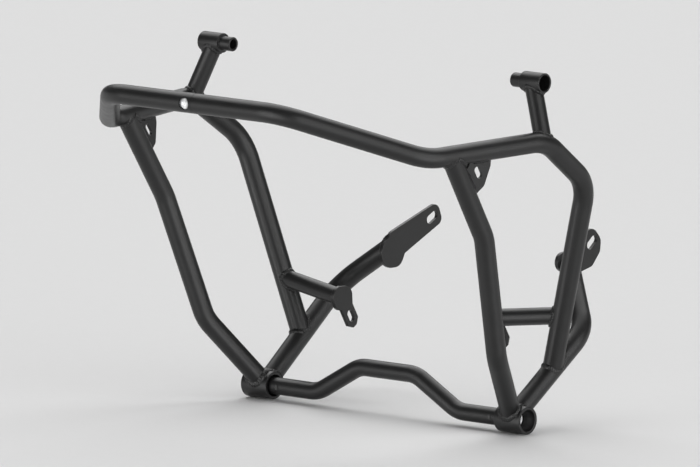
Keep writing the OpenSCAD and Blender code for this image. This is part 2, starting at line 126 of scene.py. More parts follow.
class NodeBoard:
    """Node tree of a material or world, and the one way in which nodes are added to it."""

    def __init__(self, owner: bpy.types.Material | bpy.types.World) -> None:
        """Empties the owner's node tree."""
        self.owner = owner
        owner.use_nodes = True
        self.tree = owner.node_tree
        self.tree.nodes.clear()

    @classmethod
    def of_material(cls, name: str) -> "NodeBoard":
        """Board of a new material."""
        return cls(bpy.data.materials.new(name))

    def node(
        self, kind: str, settings: dict | None = None, inputs: dict | None = None
    ) -> bpy.types.Node:
        """Adds a node.

        Args:
            kind: Blender's type name of the node.
            settings: its properties, set before anything else.
            inputs: a number, colour, vector or Shade for each socket, by name or place.

        Returns:
            The new node.
        """
        node = self.tree.nodes.new(kind)
        for key, value in (settings or {}).items():
            setattr(node, key, value)
        for key, value in (inputs or {}).items():
            if isinstance(value, Shade):
                self.tree.links.new(value.socket, node.inputs[key])
            else:
                node.inputs[key].default_value = value
        return node

    def out(self, node: bpy.types.Node, name: str | int = 0) -> Shade:
        """Output of a node as a Shade."""
        return Shade(self, node.outputs[name])

    def place(self) -> Shade:
        """Point on the piece, in metres."""
        return self.out(self.node("ShaderNodeTexCoord"), "Object")

    def noise(self, at: Shade, scale: float, detail: float = 2.0, rough: float = 0.5) -> Shade:
        """Smooth noise about 0.5.

        Args:
            at: point where it is read.
            scale: cells per metre.
            detail: number of finer layers.
            rough: share of each finer layer.

        Returns:
            The noise value.
        """
        node = self.node(
            "ShaderNodeTexNoise",
            inputs={"Vector": at, "Scale": scale, "Detail": detail, "Roughness": rough},
        )
        return self.out(node, "Fac")

    def mix(self, share: Shade, low: tuple, high: tuple) -> Shade:
        """Colour between low and high."""
        node = self.node(
            "ShaderNodeMix",
            {"data_type": "RGBA"},
            {"Factor": share, 6: (*low, 1.0), 7: (*high, 1.0)},
        )
        return self.out(node, 2)

    def bump(self, height: Shade, depth: float, strength: float) -> Shade:
        """Normal that a height field gives.

        Args:
            height: height from 0 to 1.
            depth: real depth of that height, in metres.
            strength: share of the bump that shows.

        Returns:
            The normal.
        """
        node = self.node(
            "ShaderNodeBump", inputs={"Height": height, "Distance": depth, "Strength": strength}
        )
        return self.out(node, "Normal")

    def finish(self, shader: bpy.types.Node) -> bpy.types.Material:
        """Joins a shader to the output and returns the material."""
        self.node("ShaderNodeOutputMaterial", inputs={"Surface": self.out(shader)})
        return self.owner


class Finish(Protocol):
    """A surface finish that can make its material."""

    name: str

    def material(self) -> bpy.types.Material:
        """Makes the material."""
        ...


@dataclass(frozen=True)
class PowderCoat:
    """Satin black powder coat: fine orange peel, slow flow waves and a few cured specks."""

    name: str = "satin_powder_coat"
    dark: tuple = (0.005, 0.005, 0.0051)
    light: tuple = (0.010, 0.010, 0.0101)
    roughness: float = 0.38
    gloss: float = 0.40
    peel_per_m: float = 700.0
    flow_per_m: float = 70.0
    cloud_per_m: float = 14.0
    speck_per_m: float = 2600.0
    speck_level: float = 0.66
    speck_edge: float = 9.0
    relief_m: float = 0.00012
    relief_share: float = 0.35

    def material(self) -> bpy.types.Material:
        """Makes the coat's material."""
        board = NodeBoard.of_material(self.name)
        at = board.place()
        peel = board.noise(at, self.peel_per_m, 2.0, 0.55)
        flow = board.noise(at, self.flow_per_m, 3.0, 0.5)
        cloud = board.noise(at, self.cloud_per_m, 2.0, 0.5)
        speck = board.noise(at, self.speck_per_m, 1.0) - self.speck_level
        speck = (speck * self.speck_edge).clipped()
        tone = (cloud * 0.6 + flow * 0.4 + speck * 0.25).clipped()
        rough = self.roughness + (flow - 0.5) * 0.14 + (peel - 0.5) * 0.10 + speck * 0.06
        height = peel * 0.7 + flow * 0.3
        shader = board.node(
            "ShaderNodeBsdfPrincipled",
            inputs={
                "Base Color": board.mix(tone, self.dark, self.light),
                "Roughness": rough,
                "Normal": board.bump(height, self.relief_m, self.relief_share),
                "Specular IOR Level": self.gloss,
            },
        )
        return board.finish(shader)


@dataclass(frozen=True)
class TurnedMetal:
    """Metal with fine lathe rings round an axis, and a plating or oxide tone that drifts."""

    name: str
    dark: tuple
    light: tuple
    roughness: float
    axis: str = "X"
    centre: tuple = (0.0, 0.0, 0.0)
    rings_per_m: float = 2500.0
    tone_per_m: float = 120.0
    grain_per_m: float = 1500.0
    relief_m: float = 0.00003
    relief_share: float = 0.4
    metal: float = 1.0

    def material(self) -> bpy.types.Material:
        """Makes the metal's material; ring height is the sine of the distance from the axis."""
        board = NodeBoard.of_material(self.name)
        at = board.place()
        moved = board.node(
            "ShaderNodeMapping", inputs={"Vector": at, "Location": tuple(-c for c in self.centre)}
        )
        part = board.node("ShaderNodeSeparateXYZ", inputs={0: board.out(moved)})
        first, second = [board.out(part, i) for i in range(3) if "XYZ"[i] != self.axis]
        spread = (first * first + second * second) ** 0.5
        rings = (spread * (2 * math.pi * self.rings_per_m)).sine() * 0.5 + 0.5
        tone = board.noise(at, self.tone_per_m, 3.0, 0.6)
        grain = board.noise(at, self.grain_per_m, 2.0, 0.6)
        colour = board.mix((tone * 0.8 + grain * 0.2).clipped(), self.dark, self.light)
        rough = self.roughness + (tone - 0.5) * 0.2 + (rings - 0.5) * 0.06
        height = rings * 0.7 + grain * 0.3
        shader = board.node(
            "ShaderNodeBsdfPrincipled",
            inputs={
                "Base Color": colour,
                "Metallic": self.metal,
                "Roughness": rough,
                "Normal": board.bump(height, self.relief_m, self.relief_share),
            },
        )
        return board.finish(shader)


@dataclass(frozen=True)
class PaleFloor:
    """Pale paper floor with a faint tooth, which keeps the shadow."""

    name: str = "pale_paper"
    low: tuple = (0.738, 0.738, 0.738)
    high: tuple = (0.756, 0.756, 0.756)
    tooth_per_m: float = 60.0
    roughness: float = 0.92
    gloss: float = 0.1

    def material(self) -> bpy.types.Material:
        """Makes the paper's material."""
        board = NodeBoard.of_material(self.name)
        at = board.place()
        tooth = board.noise(at, self.tooth_per_m, 3.0, 0.6)
        shader = board.node(
            "ShaderNodeBsdfPrincipled",
            inputs={
                "Base Color": board.mix(tooth, self.low, self.high),
                "Roughness": self.roughness + (tooth - 0.5) * 0.08,
                "Specular IOR Level": self.gloss,
            },
        )
        return board.finish(shader)


def unit(v: np.ndarray) -> np.ndarray:
    """Vectors of length 1 along the last axis of v."""
    return v / np.linalg.norm(v, axis=-1, keepdims=True)


def smoothed(mesh: bpy.types.Mesh, sharp: float = SHARP_DEG) -> None:
    """Shades a mesh smooth, except across edges that bend by more than sharp degrees."""
    mesh.shade_smooth()
    mesh.set_sharp_from_angle(angle=math.radians(sharp))


def placed(name: str, data: bpy.types.ID) -> bpy.types.Object:
    """New object at the origin of the scene, with that data."""
    thing = bpy.data.objects.new(name, data)
    bpy.context.scene.collection.objects.link(thing)
    return thing


def bearing(azimuth: float, elevation: float) -> Vector:
    """Unit vector (sin a cos e, -cos a cos e, sin e), from degrees: a is 0 at -Y, 90 at +X."""
    a, e = math.radians(azimuth), math.radians(elevation)
    return Vector((math.sin(a) * math.cos(e), -math.cos(a) * math.cos(e), math.sin(e)))


@dataclass
class Surface:
    """Points in millimetres and the quads that join them."""

    points: np.ndarray
    quads: np.ndarray

    @classmethod
    def grid(cls, points: np.ndarray, wrap_rows: bool, wrap_around: bool) -> "Surface":
        """Joins a grid of points: each quad is a cell between two rows and two columns.

        Args:
            points: array of rows, columns and 3.
            wrap_rows: whether the last row joins the first.
            wrap_around: whether the last column joins the first.

        Returns:
            The surface.
        """
        rows, columns = points.shape[:2]
        index = np.arange(rows * columns).reshape(rows, columns)
        if wrap_rows:
            index = np.vstack([index, index[:1]])
        if wrap_around:
            index = np.hstack([index, index[:, :1]])
        cells = [index[:-1, :-1], index[:-1, 1:], index[1:, 1:], index[1:, :-1]]
        return cls(points.reshape(-1, 3), np.stack(cells, axis=-1).reshape(-1, 4))

    def joined(self, other: "Surface") -> "Surface":
        """This surface and another as one."""
        quads = np.vstack([self.quads, other.quads + len(self.points)])
        return Surface(np.vstack([self.points, other.points]), quads)

    def on(self, side: Side) -> "Surface":
        """The surface as it is on the right, or mirrored in X and turned right side out."""
        if side is Side.RIGHT:
            return self
        return Surface(self.points * [-1, 1, 1], self.quads[:, ::-1])

    def piece(self, name: str, sharp: float = SHARP_DEG) -> bpy.types.Object:
        """Makes the Blender object.

        Args:
            name: name of the object.
            sharp: angle in degrees above which an edge stays sharp.

        Returns:
            The object, at the origin, in metres.
        """
        mesh = bpy.data.meshes.new(name)
        mesh.from_pydata((self.points * MM).tolist(), [], self.quads.tolist())
        work = bmesh.new()
        work.from_mesh(mesh)
        bmesh.ops.remove_doubles(work, verts=work.verts, dist=1e-7)
        bmesh.ops.dissolve_degenerate(work, edges=work.edges, dist=1e-8)
        work.to_mesh(mesh)
        work.free()
        smoothed(mesh, sharp)
        return placed(name, mesh)

    def moved(self, x: float) -> "Surface":
        """The surface moved along X, in millimetres."""
        return Surface(self.points + [x, 0, 0], self.quads)


@dataclass
class Course:
    """Sampled middle line of a tube with a frame that turns only as the tube bends."""

    at: np.ndarray
    heading: np.ndarray
    flank: np.ndarray

    @classmethod
    def bent(cls, corners: list, bend: float, step: float = 1.0) -> "Course":
        """Straights joined by arcs.

        Each arc has the radius bend and touches both straights. On an arc the point is
        middle + bend * (out cos a + start sin a), for a from 0 to the turn.

        Args:
            corners: points where the straights would meet, in millimetres.
            bend: radius of the arcs.
            step: angle between samples on an arc, in degrees.

        Returns:
            The course from the first corner to the last.
        """
        p = np.array(corners, float)
        start = unit(p[1] - p[0])
        helper = np.array([0.0, 0.0, 1.0]) if abs(start[2]) < 0.8 else np.array([1.0, 0.0, 0.0])
        flank = unit(np.cross(helper, start))
        at, heading, flanks = [p[:1]], [start[None]], [flank[None]]
        for a, b, c in zip(p[:-2], p[1:-1], p[2:]):
            start, leave = unit(b - a), unit(c - b)
            turn = math.acos(float(start @ leave))
            middle = b + unit(leave - start) * bend / math.cos(turn / 2)
            out = (b - start * bend * math.tan(turn / 2) - middle) / bend
            up = np.cross(start, leave) / math.sin(turn)
            angle = np.linspace(0, turn, max(3, math.ceil(math.degrees(turn) / step) + 1))[:, None]
            swing = out * np.cos(angle) + start * np.sin(angle)
            at.append(middle + bend * swing)
            heading.append(start * np.cos(angle) - out * np.sin(angle))
            flanks.append(up * (flank @ up) + swing * (flank @ out))
            flank = flanks[-1][-1]
        at.append(p[-1:])
        heading.append(unit(p[-1] - p[-2])[None])
        flanks.append(flank[None])
        return cls(np.vstack(at), np.vstack(heading), np.vstack(flanks))

    def trimmed(self, head: float, tail: float) -> "Course":
        """The course with its first and last straight shortened by head and tail."""
        at = self.at.copy()
        at[0] += self.heading[0] * head
        at[-1] -= self.heading[-1] * tail
        return Course(at, self.heading, self.flank)

    def rings(self, radius: float, around: int = AROUND) -> np.ndarray:
        """Circle of that radius round each sample: at + radius * (flank cos + rise sin)."""
        phi = np.linspace(0, 2 * math.pi, around, endpoint=False)[None, :, None]
        rise = np.cross(self.heading, self.flank)[:, None]
        return self.at[:, None] + radius * (self.flank[:, None] * np.cos(phi) + rise * np.sin(phi))


class Form(Protocol):
    """Outer form that another piece is fitted to."""

    def gap(self, points: np.ndarray) -> np.ndarray:
        """Distance of each point from the form."""
        ...

    def outward(self, points: np.ndarray) -> np.ndarray:
        """Direction away from the form at each point."""
        ...


@dataclass
class RoundForm:
    """Outside of a round bar or bent tube."""

    course: Course
    radius: float

    def _nearest(self, points: np.ndarray) -> np.ndarray:
        """Nearest point of the middle line: on each segment the share t is held to 0..1."""
        a, b = self.course.at[:-1], self.course.at[1:]
        run = b - a
        share = ((points[:, None] - a) * run).sum(-1) / (run * run).sum(-1)
        spots = a + run * np.clip(share, 0, 1)[..., None]
        far = np.linalg.norm(points[:, None] - spots, axis=-1)
        return spots[np.arange(len(points)), far.argmin(1)]

    def gap(self, points: np.ndarray) -> np.ndarray:
        """Distance from the middle line, less the radius."""
        return np.linalg.norm(points - self._nearest(points), axis=-1) - self.radius

    def outward(self, points: np.ndarray) -> np.ndarray:
        """Direction away from the middle line."""
        return unit(points - self._nearest(points))


@dataclass
class FlatForm:
    """Flat face through a point, with its outward direction."""

    point: np.ndarray
    normal: np.ndarray

    def gap(self, points: np.ndarray) -> np.ndarray:
        """Height above the face."""
        return (points - self.point) @ self.normal

    def outward(self, points: np.ndarray) -> np.ndarray:
        """The face's own direction, at each point."""
        return np.broadcast_to(self.normal, points.shape)


@dataclass
class JoinedForm:
    """Several forms that act as one."""

    forms: list

    def gap(self, points: np.ndarray) -> np.ndarray:
        """Distance from the nearest of the forms."""
        return np.min([f.gap(points) for f in self.forms], axis=0)

    def outward(self, points: np.ndarray) -> np.ndarray:
        """Direction away from the nearest of the forms."""
        pick = np.argmin([f.gap(points) for f in self.forms], axis=0)
        ways = np.stack([f.outward(points) for f in self.forms])
        return ways[pick, np.arange(len(points))]


def reach(start: np.ndarray, heading: np.ndarray, form: Form) -> np.ndarray:
    """Slides points along a heading until each one meets the form.

    Every round moves each point on by the distance that is still left.

    Args:
        start: points clear of the form.
        heading: unit vector of the slide.
        form: form to be met.

    Returns:
        The points on the form.
    """
    points = start.copy()
    for _ in range(SLIDES):
        points = points + heading * form.gap(points)[:, None]
    return points


@dataclass
class TubeSkin:
    """Wall of a tube: both ends follow the forms they are fitted to."""

    course: Course
    radius: float
    wall: float
    head: Form
    tail: Form
    clear: float = 32.0
    lean: float = 0.4

    def _rows(self, radius: float) -> np.ndarray:
        """Rings of one radius, with a fitted row added at each end."""
        cut = self.course.trimmed(self.clear, self.clear)
        rings = cut.rings(radius)
        first = reach(rings[0], -cut.heading[0], self.head)
        last = reach(rings[-1], cut.heading[-1], self.tail)
        return np.concatenate([first[None], rings, last[None]])

    def surface(self) -> Surface:
        """Outer rows from head to tail, then inner rows back, closed into one shell."""
        outer, inner = self._rows(self.radius), self._rows(self.radius - self.wall)
        return Surface.grid(np.concatenate([outer, inner[::-1]]), True, True)

    def seam(self, at_head: bool, leg: float) -> "Fillet":
        """Corner where the tube's outside meets its form.

        The toe on the tube lies a leg back along the tube. The toe on the form lies a leg
        away, square to the seam, and is then dropped onto the form.

        Args:
            at_head: whether it is the head's seam or the tail's.
            leg: distance of both toes from the seam.

        Returns:
            The lines of the fillet.
        """
        cut = self.course.trimmed(self.clear, self.clear)
        end, form, sign = (0, self.head, -1) if at_head else (-1, self.tail, 1)
        ring = cut.rings(self.radius, 3 * AROUND)[end]
        line = reach(ring, sign * cut.heading[end], form)
        radial, outward = unit(ring - cut.at[end]), form.outward(line)
        way = unit(np.roll(line, -1, 0) - np.roll(line, 1, 0))
        aside = unit(np.cross(way, outward))
        away = radial - sign * self.lean * cut.heading[end]
        aside *= np.sign((aside * away).sum(1, keepdims=True))
        toe = line + leg * aside
        toe -= form.gap(toe)[:, None] * form.outward(toe)
        return Fillet(line, line - sign * leg * cut.heading[end], toe, unit(radial + outward))


@dataclass
class Fillet:
    """Corner line of a weld, its two toe lines, and the way out of the corner."""

    line: np.ndarray
    toe_a: np.ndarray
    toe_b: np.ndarray
    lift: np.ndarray

    def even(self, pitch: float, closed: bool) -> tuple["Fillet", np.ndarray]:
        """The same lines read at even steps.

        Args:
            pitch: length of one scale of the weld.
            closed: whether the line ends where it starts.

        Returns:
            The new lines, and the number of scales passed at each step.
        """
        parts = [self.line, self.toe_a, self.toe_b, self.lift]
        if closed:
            parts = [np.vstack([part, part[:1]]) for part in parts]
        run = np.concatenate([[0], np.cumsum(np.linalg.norm(np.diff(parts[0], axis=0), axis=1))])
        scales = max(3, round(run[-1] / pitch))
        steps = np.linspace(0, run[-1], scales * STEPS_PER_SCALE + 1)[: -1 if closed else None]
        line, toe_a, toe_b, lift = (
            np.stack([np.interp(steps, run, part[:, i]) for i in range(3)], 1) for part in parts
        )
        return Fillet(line, toe_a, toe_b, unit(lift)), steps * scales / run[-1]


@dataclass
class WeldBead:
    """Ripple-faced fillet weld.

    Across the weld the face is (1-t)^2 a + 2t(1-t) c + t^2 b between the toes a and b, where
    c is pushed out of the corner. Along it, the rectified sine of the number of scales
    passed lifts one scale after another, bowed backwards at the toes. Each scale has its own
    seeded height, and two long sines make the legs drift.
    """

    fillet: Fillet
    closed: bool = True
    crown: float = 1.3
    ripple: float = 0.65
    pitch: float = 3.2
    seed: int = 1
    across: int = 11
    bow: float = 1.62
    sink: float = 0.18
    back_deep: tuple = (0.9, 1.3, 0.9)
    back_wide: float = 0.35
    end_scales: float = 0.9

    def surface(self) -> Surface:
        """Makes the bead: its face, and a back that stays inside the walls."""
        lines, passed = self.fillet.even(self.pitch, self.closed)
        chance = np.random.default_rng(self.seed)
        count = int(math.ceil(passed[-1])) + 2
        phase = chance.uniform(0, 2 * math.pi, 2)
        total = passed[-1] + passed[1]
        turn = 2 * math.pi * passed[:, None, None] / total
        drift = 1 + 0.10 * np.sin(3 * turn + phase[0]) + 0.07 * np.sin(8 * turn + phase[1])
        t = np.linspace(0, 1, self.across)[None, :, None]
        corner, lift = lines.line[:, None], lines.lift[:, None]
        a = corner + (lines.toe_a[:, None] - corner) * drift
        b = corner + (lines.toe_b[:, None] - corner) * (2.06 - drift)
        c = 0.25 * corner + 0.375 * (a + b) + lift * self.crown
        bowed = passed[:, None] + self.bow * (t[..., 0] - 0.5) ** 2
        tall = chance.uniform(0.6, 1.25, count)[np.clip(bowed.astype(int), 0, count - 1)]
        scale = tall * np.abs(np.sin(math.pi * bowed)) ** 0.8 * np.sin(math.pi * t[..., 0]) ** 0.6
        face = (1 - t) ** 2 * a + 2 * t * (1 - t) * c + t**2 * b
        face = face - self.sink * lift + self.ripple * scale[..., None] * lift
        sway = self.back_wide * np.array([1.0, 0.0, -1.0])[None, :, None]
        back = corner - lift * np.array(self.back_deep)[None, :, None]
        grid = np.concatenate([face, back + (face[:, -1:] - corner) * sway], 1)
        if not self.closed:
            near = np.minimum(passed, passed[-1] - passed)
            slope = 1 - np.clip(near / self.end_scales, 0, 1)
            round_end = np.sqrt(np.clip(1 - slope**2, 0, 1))
            core = lines.line[:, None] - 0.2 * lift
            grid = core + (grid - core) * round_end[:, None, None]
        return Surface.grid(grid, self.closed, True)


def rounded_loop(corners: list, soft: float, steps: int = 5) -> np.ndarray:
    """Closed profile with softened corners.

    At each corner b the points are (1-t)^2 p + 2t(1-t) b + t^2 q, where p and q lie the soft
    length away on its two sides.

    Args:
        corners: points of the profile.
        soft: length taken from each side.
        steps: points per corner.

    Returns:
        The points of the loop.
    """
    b = np.array(corners, float)
    p = b + unit(np.roll(b, 1, 0) - b) * soft
    q = b + unit(np.roll(b, -1, 0) - b) * soft
    t = np.linspace(0, 1, steps)[None, :, None]
    loop = (1 - t) ** 2 * p[:, None] + 2 * t * (1 - t) * b[:, None] + t**2 * q[:, None]
    return loop.reshape(-1, 2)


def turned(profile: np.ndarray, centre: np.ndarray) -> Surface:
    """Profile of (x, r) carried round a line along X: (x, r cos, r sin) about the centre."""
    phi = np.linspace(0, 2 * math.pi, AROUND, endpoint=False)[None]
    x = np.broadcast_to(profile[:, :1], (len(profile), AROUND))
    grid = np.stack([x, profile[:, 1:] * np.cos(phi), profile[:, 1:] * np.sin(phi)], axis=-1)
    return Surface.grid(grid + centre, True, True)


@dataclass
class Layout:
    """Sizes and bend points of the right half, in millimetres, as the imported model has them."""

    main_r: float = 12.7
    main_wall: float = 2.0
    main_bend: float = 60.0
    small_r: float = 11.0
    small_wall: float = 2.0
    tie_bend: float = 45.0
    seam_x: float = 3.0
    half_gap: float = 0.2
    tube_gap: float = 0.1
    plate_gap: float = 0.2
    corner: tuple = (141.0, -359.0, 415.0)
    shoulder: tuple = (266.0, -225.0, 356.0)
    hip: tuple = (296.0, -40.0, 362.0)
    knee: tuple = (287.0, 48.0, 299.0)
    front_upper: tuple = (267.0, -121.0, 247.0)
    front_lower: tuple = (244.0, -71.0, 88.0)
    arm_foot: tuple = (207.0, 0.0, 0.0)
    arm_bends: dict = field(
        default_factory=lambda: {Side.LEFT: (212.0, 141.0, 109.0), Side.RIGHT: (212.0, 129.0, 96.0)}
    )
    pads: dict = field(
        default_factory=lambda: {
            Side.LEFT: (134.0, 154.0, 164.0),
            Side.RIGHT: (134.0, 190.0, 170.0),
        }
    )
    front_top: float = 36.5
    rail_foot: float = 90.0
    branch_up: float = 75.0
    branch_end: tuple = (127.0, 52.0, 113.0)
    plate_half: float = 2.5
    boss_r: float = 17.5
    boss_inner: float = 191.0
    boss_outer: float = 233.0
    post_boss_r: float = 12.5
    post_boss_outer: tuple = (285.0, -28.0, 432.0)
    post_inset: float = 20.0
    gusset_half: float = 2.0
    gusset_along_rail: float = 64.0
    gusset_along_tube: float = 65.0
    gusset_notch: float = 33.0

    @staticmethod
    def between(a: tuple, b: tuple, distance: float) -> np.ndarray:
        """Point at a distance from a towards b."""
        return np.array(a, float) + distance * unit(np.array(b, float) - np.array(a, float))

    def front_head(self) -> np.ndarray:
        """Point on the rail's axis from which the front tube starts."""
        return self.between(self.shoulder, self.hip, self.front_top)

    def foot(self, side: Side) -> np.ndarray:
        """Point on the arm's axis where the rail ends."""
        return self.between(self.arm_foot, self.arm_bends[side], self.rail_foot)

    def seam(self, side: Side) -> float:
        """X of the rail's end at the seam, on the right half or on the left half mirrored."""
        return side.value * self.seam_x + self.half_gap

    def rail_course(self, side: Side) -> Course:
        """Rail's middle line from the seam to its foot."""
        first = (self.seam(side), self.corner[1], self.corner[2])
        corners = [first, self.corner, self.shoulder, self.hip, self.knee, self.foot(side)]
        return Course.bent(corners, self.main_bend)

    def rail_form(self, side: Side) -> RoundForm:
        """Outside of the rail, as other tubes are fitted to it."""
        return RoundForm(self.rail_course(side), self.main_r + self.tube_gap)

    def plate_face(self, middle_x: float) -> FlatForm:
        """Outer face of a plate, as a tube is cut flat to it."""
        return self.flat(middle_x + self.plate_half + self.plate_gap, 1.0)

    def front_course(self) -> Course:
        """Front tube's middle line."""
        corners = [self.front_head(), self.front_upper, self.front_lower, self.arm_foot]
        return Course.bent(corners, self.main_bend)

    def arm_course(self, side: Side) -> Course:
        """Lower arm's middle line, ended on the plate's middle."""
        return Course.bent([self.arm_foot, self.arm_bends[side], self.pads[side]], self.main_bend)

    def branch_course(self, side: Side) -> Course:
        """Branch's middle line."""
        root = self.between(tuple(self.foot(side)), self.knee, self.branch_up)
        return Course.bent([root, self.branch_end], self.main_bend)

    def post_course(self) -> Course:
        """Post's middle line from the hip bend to the post boss."""
        p = [np.array(v) for v in (self.shoulder, self.hip, self.knee)]
        start, leave = unit(p[1] - p[0]), unit(p[2] - p[1])
        half = math.acos(float(start @ leave)) / 2
        base = p[1] + unit(leave - start) * self.main_bend * (1 / math.cos(half) - 1)
        top = np.array(self.post_boss_outer) - [self.post_inset, 0, 0]
        return Course.bent([base, top], self.main_bend)

    def lower_boss_form(self) -> RoundForm:
        """Outside of the lower boss."""
        return self._bar_along_x(self.boss_inner, self.boss_outer, 0.0, 0.0, self.boss_r)

    def post_boss_form(self) -> RoundForm:
        """Outside of the post boss."""
        x, y, z = self.post_boss_outer
        return self._bar_along_x(x - 60, x, y, z, self.post_boss_r)

    @staticmethod
    def _bar_along_x(x0: float, x1: float, y: float, z: float, radius: float) -> RoundForm:
        """Round bar along X, made long enough that its ends never count."""
        ends = np.array([[x0 - 60, y, z], [x1 + 60, y, z]], float)
        way = np.array([[1.0, 0, 0]] * 2)
        return RoundForm(Course(ends, way, np.array([[0.0, 1, 0]] * 2)), radius)

    @staticmethod
    def flat(x: float, way: float) -> FlatForm:
        """Flat face across X that looks along way."""
        return FlatForm(np.array([x, 0.0, 0.0]), np.array([way, 0.0, 0.0]))


class Workshop:
    """Makes finished pieces: builds the material once and puts each piece in its place."""

    def __init__(self, finishes: dict[Slot, Finish]) -> None:
        """Makes the materials.

        Args:
            finishes: the finish of each slot.
        """
        self.materials = {slot: finish.material() for slot, finish in finishes.items()}

    def dress(self, piece: bpy.types.Object, slot: Slot, *nodes: str) -> bpy.types.Object:
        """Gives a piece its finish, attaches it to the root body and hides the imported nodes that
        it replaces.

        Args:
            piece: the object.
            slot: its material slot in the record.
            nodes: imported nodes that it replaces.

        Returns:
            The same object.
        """
        piece.data.materials.clear()
        piece.data.materials.append(self.materials[slot])
        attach(piece, "root")
        if nodes:
            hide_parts(*nodes)
        LOG.info("%s: %d faces", piece.name, len(piece.data.polygons))
        return piece

    def keep(self, node: str, slot: Slot) -> None:
        """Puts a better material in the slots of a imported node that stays."""
        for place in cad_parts[node].material_slots:
            place.material = self.materials[slot]
        LOG.info("%s: kept", node)

    def softened(self, node: str, width: float, slot: Slot) -> bpy.types.Object:
        """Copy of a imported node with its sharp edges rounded, which stands for it.

        Args:
            node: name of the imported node.
            width: width of the rounding, in millimetres.
            slot: its material slot in the record.

        Returns:
            The piece.
        """
        name = "soft_" + node
        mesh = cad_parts[node].data.copy()
        mesh.name = name
        work = bmesh.new()
        work.from_mesh(mesh)
        bmesh.ops.remove_doubles(work, verts=work.verts, dist=2e-6)
        bmesh.ops.dissolve_limit(
            work, angle_limit=math.radians(1.0), verts=work.verts, edges=work.edges
        )
        bmesh.ops.recalc_face_normals(work, faces=work.faces)
        work.to_mesh(mesh)
        work.free()
        smoothed(mesh)
        piece = placed(name, mesh)
        bevel = piece.modifiers.new("rounding", "BEVEL")
        bevel.width, bevel.segments = width * MM, 3
        bevel.limit_method, bevel.angle_limit = "ANGLE", math.radians(SHARP_DEG)
        bevel.use_clamp_overlap = True
        bevel.harden_normals = True
        return self.dress(piece, slot, node)

    def pierced(self, piece: bpy.types.Object, base: tuple, tip: tuple, radius: float) -> None:
        """Cuts a round hole in a piece.

        Args:
            piece: the closed piece.
            base: start of the hole's axis, in millimetres.
            tip: end of the hole's axis.
            radius: radius of the hole.
        """
        axis = Course.bent([base, tip], 1.0)
        around = AROUND // 2
        start, end = (spot[None, None].repeat(around, 1) for spot in (axis.at[0], axis.at[-1]))
        rows = np.concatenate([start, axis.rings(radius, around), end])
        drill = Surface.grid(rows, False, True).piece("drill")
        cut = piece.modifiers.new("hole", "BOOLEAN")
        cut.operation, cut.solver, cut.object = "DIFFERENCE", "EXACT", drill
        graph = bpy.context.evaluated_depsgraph_get()
        mesh = bpy.data.meshes.new_from_object(piece.evaluated_get(graph))
        piece.modifiers.clear()
        piece.data = mesh
        bpy.data.objects.remove(drill)
        smoothed(mesh)

    def weld(self, side: Side, first: int, corners: dict[str, Fillet]) -> None:
        """Lays a bead in each corner of one side, each with a seed of its own.

        Args:
            side: side of the machine.
            first: number that the seeds are counted from.
            corners: the fillet at each place, by the place's name.
        """
        for count, (place, fillet) in enumerate(corners.items()):
            bead = WeldBead(fillet, seed=first + 2 * count + side.value).surface().on(side)
            self.dress(bead.piece(f"bead_{place}_{side.word}"), Slot.PAINTED)


@dataclass
class UpperRails:
    """Two bent rail halves with the posts and the post bosses on their hip bends."""

    layout: Layout
    shop: Workshop
    edge: float = 0.9
    spigot_r: float = 9.0
    spigot_len: float = 17.0
    boss_len: float = 33.0
    bore_r: float = 6.25
    recess_r: float = 10.0
    recess_deep: float = 18.0
    joint_x: float = -8.0
    first_seed: int = 20
    joint_hole_r: float = 7.9
    joint_hole_deep: float = 20.0

    def rail(self, side: Side) -> TubeSkin:
        """Skin of one rail."""
        size = self.layout
        seam = size.flat(size.seam(side), 1.0)
        arm = RoundForm(size.arm_course(side), size.main_r + size.tube_gap)
        return TubeSkin(size.rail_course(side), size.main_r, size.main_wall, seam, arm)

    def post(self) -> TubeSkin:
        """Skin of one post."""
        size = self.layout
        rail, boss = size.rail_form(Side.RIGHT), size.post_boss_form()
        return TubeSkin(size.post_course(), size.small_r, size.small_wall, rail, boss, clear=24.0)

    def boss(self) -> Surface:
        """Turned post boss: spigot, shoulder, body and recess in one profile."""
        x, y, z = self.layout.post_boss_outer
        step, floor = x - self.boss_len, x - self.recess_deep
        tip, r = step - self.spigot_len, self.layout.post_boss_r
        corners = [
            (tip, self.bore_r), (tip, self.spigot_r), (step, self.spigot_r), (step, r),
            (x, r), (x, self.recess_r), (floor, self.recess_r), (floor, self.bore_r),
        ]
        return turned(rounded_loop(corners, self.edge), np.array([0.0, y, z]))

    def build(self) -> None:
        """Makes both sides."""
        size = self.layout
        for side in Side:
            word = side.word
            rail = self.rail(side)
            skin = rail.surface().on(side).piece(f"rail_{word}")
            if side is Side.LEFT:
                base = (self.joint_x, size.corner[1], size.corner[2])
                tip = (self.joint_x, size.corner[1] - self.joint_hole_deep, size.corner[2])
                self.shop.pierced(skin, base, tip, self.joint_hole_r)
            self.shop.dress(skin, Slot.PAINTED, f"{word}_upper_rail")
            post = self.post()
            skin = post.surface().on(side).piece(f"post_{word}")
            self.shop.dress(skin, Slot.PAINTED, f"{word}_post")
            skin = self.boss().on(side).piece(f"post_boss_{word}", 50.0)
            self.shop.dress(skin, Slot.PAINTED, f"{word}_post_boss")
            corners = {
                "rail_foot": rail.seam(False, 3.3),
                "post_foot": post.seam(True, 3.0),
                "post_top": post.seam(False, 2.8),
            }
            self.shop.weld(side, self.first_seed, corners)


